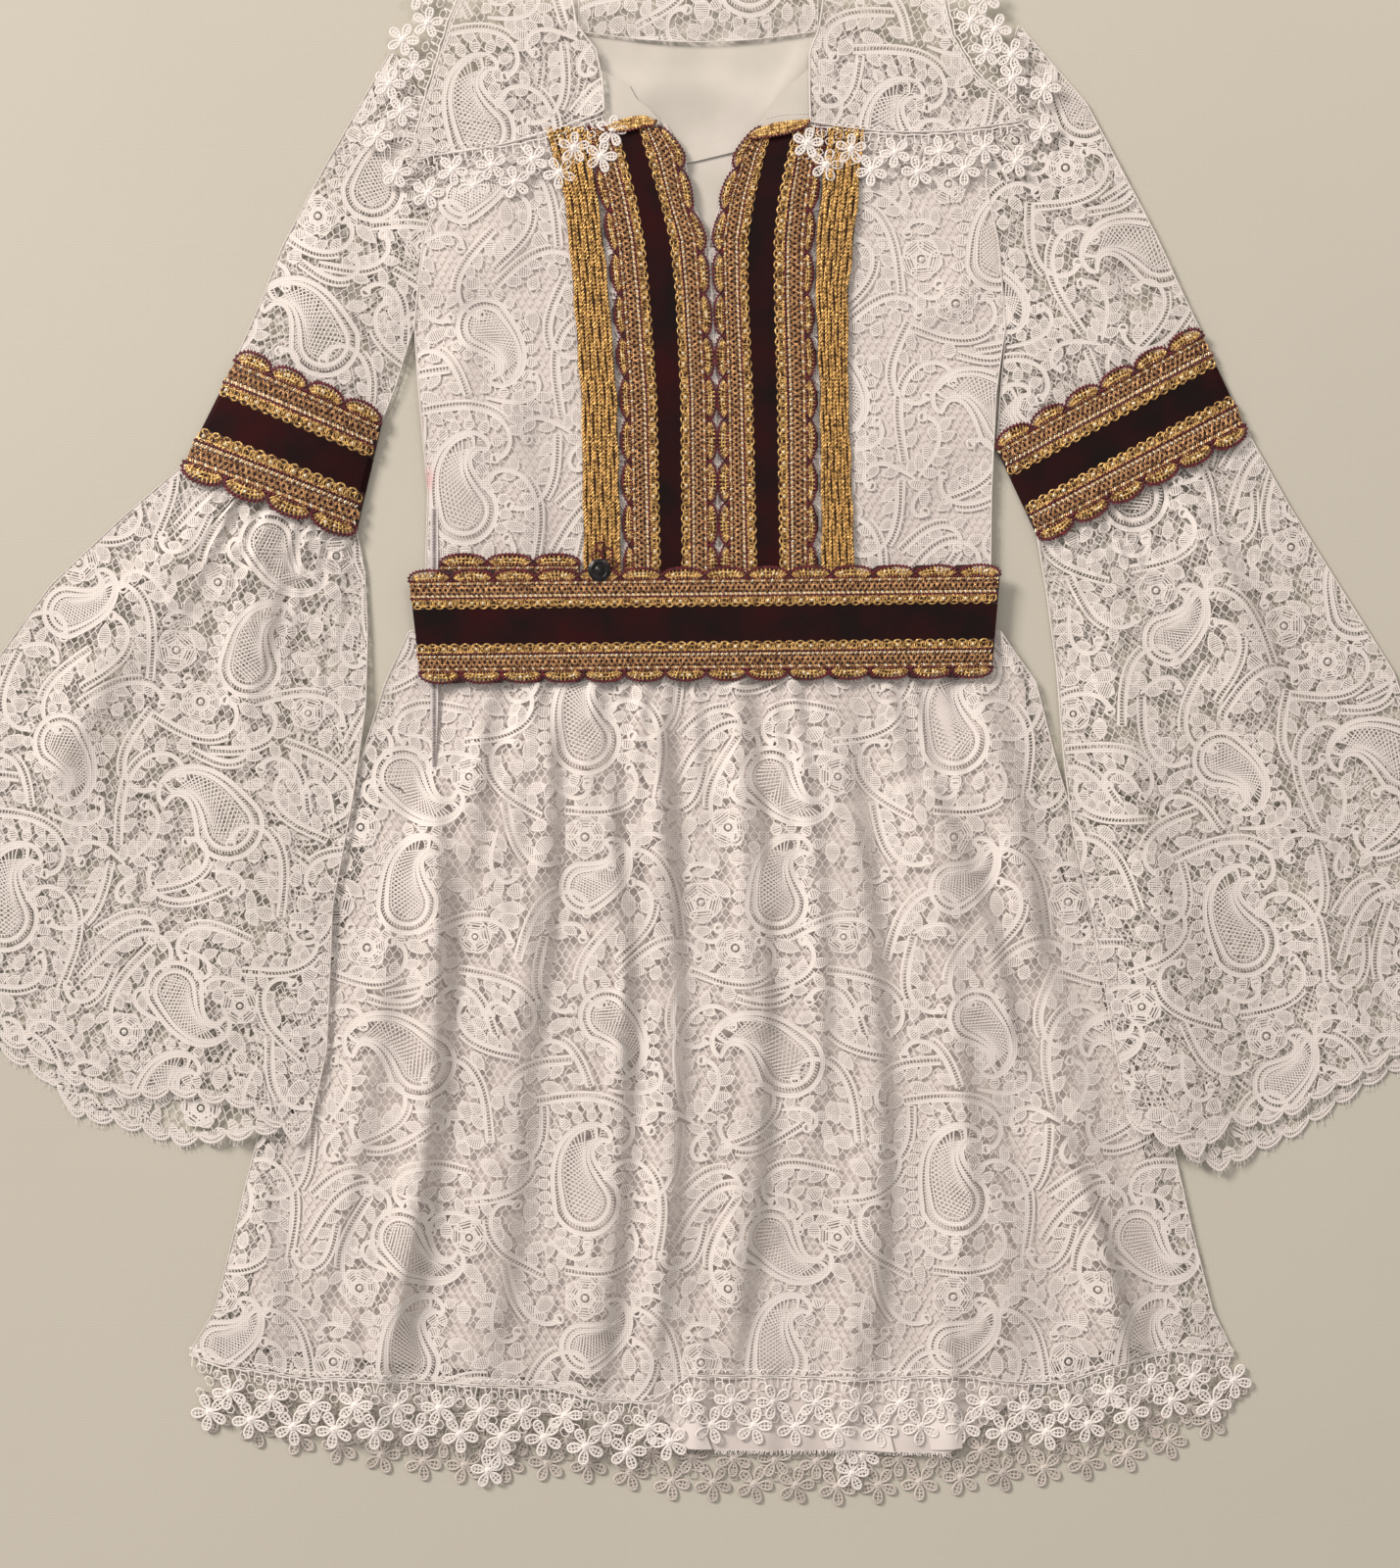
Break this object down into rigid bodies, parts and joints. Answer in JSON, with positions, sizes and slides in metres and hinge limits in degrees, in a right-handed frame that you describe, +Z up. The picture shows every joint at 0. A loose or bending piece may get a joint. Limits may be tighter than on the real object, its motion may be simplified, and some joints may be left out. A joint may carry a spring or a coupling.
{
  "type": "lace folk dress",
  "caption": "White paisley lace folk dress with bell sleeves, pointed collar, velvet and gold braid placket and belt, laid flat.",
  "frame": {"origin": "on the surface the dress lies on, under the middle of its outline", "axes": "+Z up from the surface through the front of the dress, +Y towards the collar, +X to the viewer's right when looking down on it"},
  "size_m": [0.998, 1.0069, 0.0137],
  "materials": {
    "lace": "matte",
    "daisy_trim": "matte",
    "satin": "satin",
    "velvet": "matte",
    "gold_braid": "satin",
    "gold_cord": "satin",
    "zip_tape": "matte",
    "press_stud": "satin"
  },
  "bodies": {
    "root": {"band_braid_foot_left": "gold_braid", "band_braid_foot_left_under": "gold_braid", "band_braid_foot_right": "gold_braid", "band_braid_foot_right_under": "gold_braid", "band_braid_top_left": "gold_braid", "band_braid_top_left_under": "gold_braid", "band_braid_top_right": "gold_braid", "band_braid_top_right_under": "gold_braid", "band_velvet_left": "velvet", "band_velvet_left_under": "velvet", "band_velvet_right": "velvet", "band_velvet_right_under": "velvet", "bell_back_left": "lace", "bell_back_right": "lace", "bell_front_left": "lace", "bell_front_right": "lace", "belt_braid_foot": "gold_braid", "belt_braid_foot_under": "gold_braid", "belt_braid_top": "gold_braid", "belt_braid_top_under": "gold_braid", "belt_velvet": "velvet", "belt_velvet_under": "velvet", "bodice_back": "lace", "bodice_back_lining": "satin", "bodice_front_left": "lace", "bodice_front_right": "lace", "bodice_lining_left": "satin", "bodice_lining_right": "satin", "collar_back": "lace", "collar_left": "lace", "collar_right": "lace", "collar_trim_left": "daisy_trim", "collar_trim_right": "daisy_trim", "cord_band_left": "gold_cord", "cord_band_right": "gold_cord", "hem_trim_back": "daisy_trim", "hem_trim_front": "daisy_trim", "placket_braid_inner_left": "gold_braid", "placket_braid_inner_right": "gold_braid", "placket_braid_outer_left": "gold_braid", "placket_braid_outer_right": "gold_braid", "placket_velvet_left": "velvet", "placket_velvet_right": "velvet", "press_stud": "press_stud", "side_zip": "zip_tape", "skirt_back": "lace", "skirt_front": "lace", "skirt_lining_back": "satin", "skirt_lining_front": "satin", "sleeve_back_left": "lace", "sleeve_back_right": "lace", "sleeve_front_left": "lace", "sleeve_front_right": "lace", "waist_trim": "gold_braid"}
  },
  "joints": []
}
